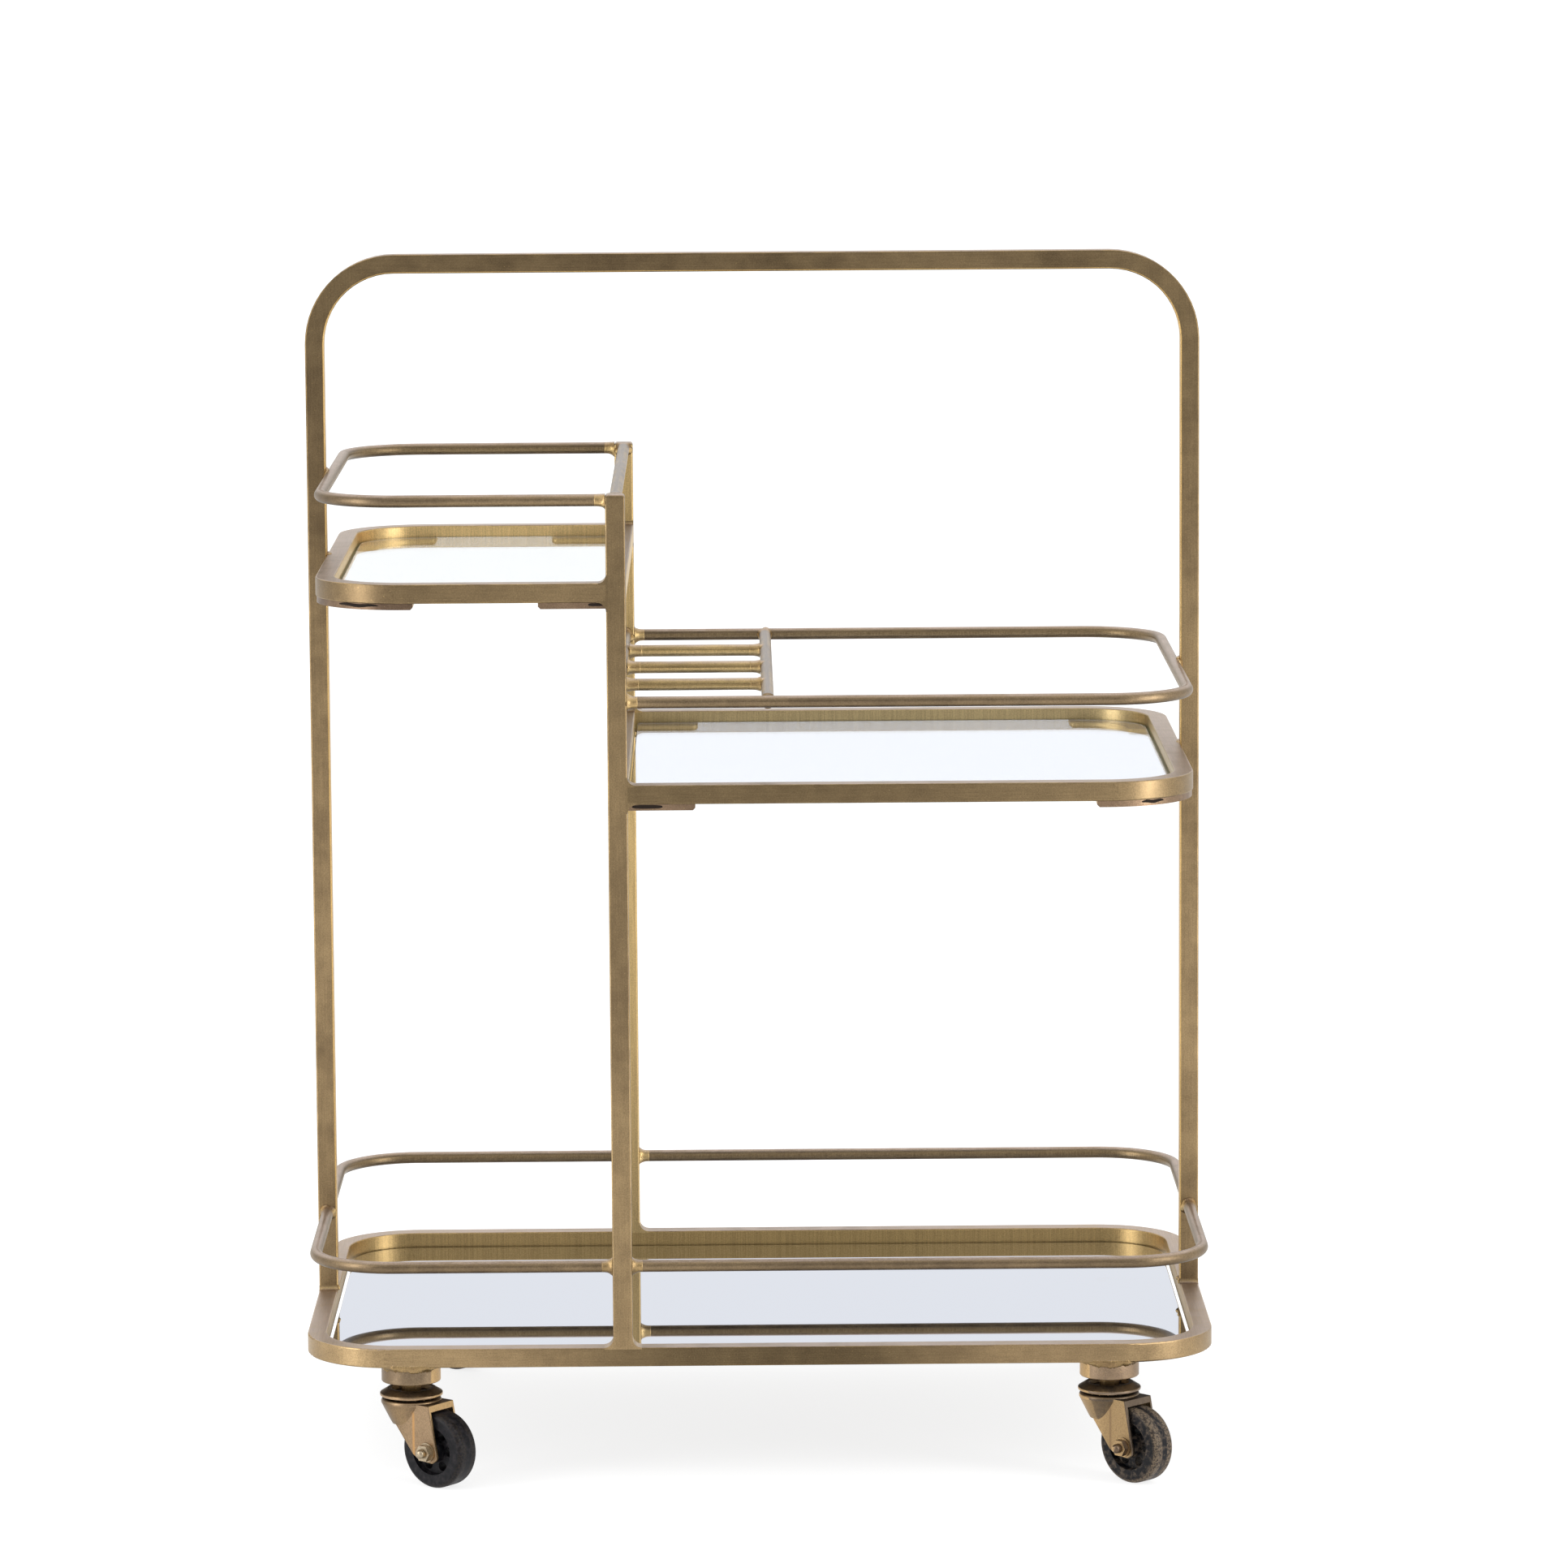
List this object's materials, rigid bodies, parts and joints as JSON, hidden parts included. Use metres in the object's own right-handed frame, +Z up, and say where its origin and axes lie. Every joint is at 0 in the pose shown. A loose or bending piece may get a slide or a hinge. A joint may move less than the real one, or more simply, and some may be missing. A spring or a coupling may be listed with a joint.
{
  "type": "bar cart on casters",
  "caption": "Bar cart of welded square bar in antique brass, with clear glass shelves at two levels, a bottle grid, a mirror tray and swivel casters.",
  "frame": {"origin": "on the floor under the middle of the tray ring, between the four casters", "axes": "+Z up, +X along the cart towards the bottle grid's open end, -Y towards the front"},
  "size_m": [0.6, 0.4214, 0.798],
  "materials": {
    "antique_brass": "satin",
    "bronzed_steel": "satin",
    "plated_steel": "satin",
    "wheel_rubber": "satin",
    "clear_glass": "polished",
    "mirror": "polished",
    "backing": "matte"
  },
  "bodies": {
    "cart": {"tray_frame": "antique_brass", "handle_hoop": "antique_brass", "front_post": "antique_brass", "rear_post": "antique_brass", "top_shelf_frame": "antique_brass", "mid_shelf_frame": "antique_brass", "top_shelf_crossbar": "antique_brass", "mid_shelf_crossbar": "antique_brass", "top_rail": "antique_brass", "mid_rail": "antique_brass", "top_rail_crossbar": "antique_brass", "mid_rail_crossbar": "antique_brass", "grid_crossbar": "antique_brass", "grid_rods": "antique_brass", "front_left_tray_rail": "antique_brass", "rear_left_tray_rail": "antique_brass", "front_right_tray_rail": "antique_brass", "rear_right_tray_rail": "antique_brass", "top_glass_tabs": "antique_brass", "mid_glass_tabs": "antique_brass", "top_glass": "clear_glass", "mid_glass": "clear_glass", "tray_mirror": "mirror", "mirror_backing": "backing", "front_left_collar": "antique_brass", "front_left_stem": "bronzed_steel", "front_left_top_race": "bronzed_steel", "front_right_collar": "antique_brass", "front_right_stem": "bronzed_steel", "front_right_top_race": "bronzed_steel", "rear_left_collar": "antique_brass", "rear_left_stem": "bronzed_steel", "rear_left_top_race": "bronzed_steel", "rear_right_collar": "antique_brass", "rear_right_stem": "bronzed_steel", "rear_right_top_race": "bronzed_steel"},
    "front_left_swivel": {"front_left_fork": "bronzed_steel", "front_left_ball_ring": "plated_steel", "front_left_axle_bolt": "bronzed_steel", "front_left_axle_nut": "bronzed_steel", "front_left_axle_sleeve": "plated_steel"},
    "front_left_roller": {"front_left_wheel": "wheel_rubber"},
    "front_right_swivel": {"front_right_fork": "bronzed_steel", "front_right_ball_ring": "plated_steel", "front_right_axle_bolt": "bronzed_steel", "front_right_axle_nut": "bronzed_steel", "front_right_axle_sleeve": "plated_steel"},
    "front_right_roller": {"front_right_wheel": "wheel_rubber"},
    "rear_left_swivel": {"rear_left_fork": "bronzed_steel", "rear_left_ball_ring": "plated_steel", "rear_left_axle_bolt": "bronzed_steel", "rear_left_axle_nut": "bronzed_steel", "rear_left_axle_sleeve": "plated_steel"},
    "rear_left_roller": {"rear_left_wheel": "wheel_rubber"},
    "rear_right_swivel": {"rear_right_fork": "bronzed_steel", "rear_right_ball_ring": "plated_steel", "rear_right_axle_bolt": "bronzed_steel", "rear_right_axle_nut": "bronzed_steel", "rear_right_axle_sleeve": "plated_steel"},
    "rear_right_roller": {"rear_right_wheel": "wheel_rubber"}
  },
  "joints": [
    {"name": "front_left_swivel_joint", "type": "hinge", "parent": "cart", "child": "front_left_swivel", "pos_m": [-0.23, -0.1805, 0.0583], "axis": [0, 0, 1], "continuous": true},
    {"name": "front_left_wheel_joint", "type": "hinge", "parent": "front_left_swivel", "child": "front_left_roller", "pos_m": [-0.21109, -0.19528, 0.025], "axis": [0.6157, 0.788, 0], "continuous": true},
    {"name": "front_right_swivel_joint", "type": "hinge", "parent": "cart", "child": "front_right_swivel", "pos_m": [0.23, -0.1805, 0.0583], "axis": [0, 0, 1], "continuous": true},
    {"name": "front_right_wheel_joint", "type": "hinge", "parent": "front_right_swivel", "child": "front_right_roller", "pos_m": [0.24697, -0.19747, 0.025], "axis": [0.7071, 0.7071, 0], "continuous": true},
    {"name": "rear_left_swivel_joint", "type": "hinge", "parent": "cart", "child": "rear_left_swivel", "pos_m": [-0.23, 0.1805, 0.0583], "axis": [0, 0, 1], "continuous": true},
    {"name": "rear_left_wheel_joint", "type": "hinge", "parent": "rear_left_swivel", "child": "rear_left_roller", "pos_m": [-0.21216, 0.16444, 0.025], "axis": [0.6691, 0.7431, 0], "continuous": true},
    {"name": "rear_right_swivel_joint", "type": "hinge", "parent": "cart", "child": "rear_right_swivel", "pos_m": [0.23, 0.1805, 0.0583], "axis": [0, 0, 1], "continuous": true},
    {"name": "rear_right_wheel_joint", "type": "hinge", "parent": "rear_right_swivel", "child": "rear_right_roller", "pos_m": [0.24478, 0.16159, 0.025], "axis": [0.788, 0.6157, 0], "continuous": true}
  ]
}
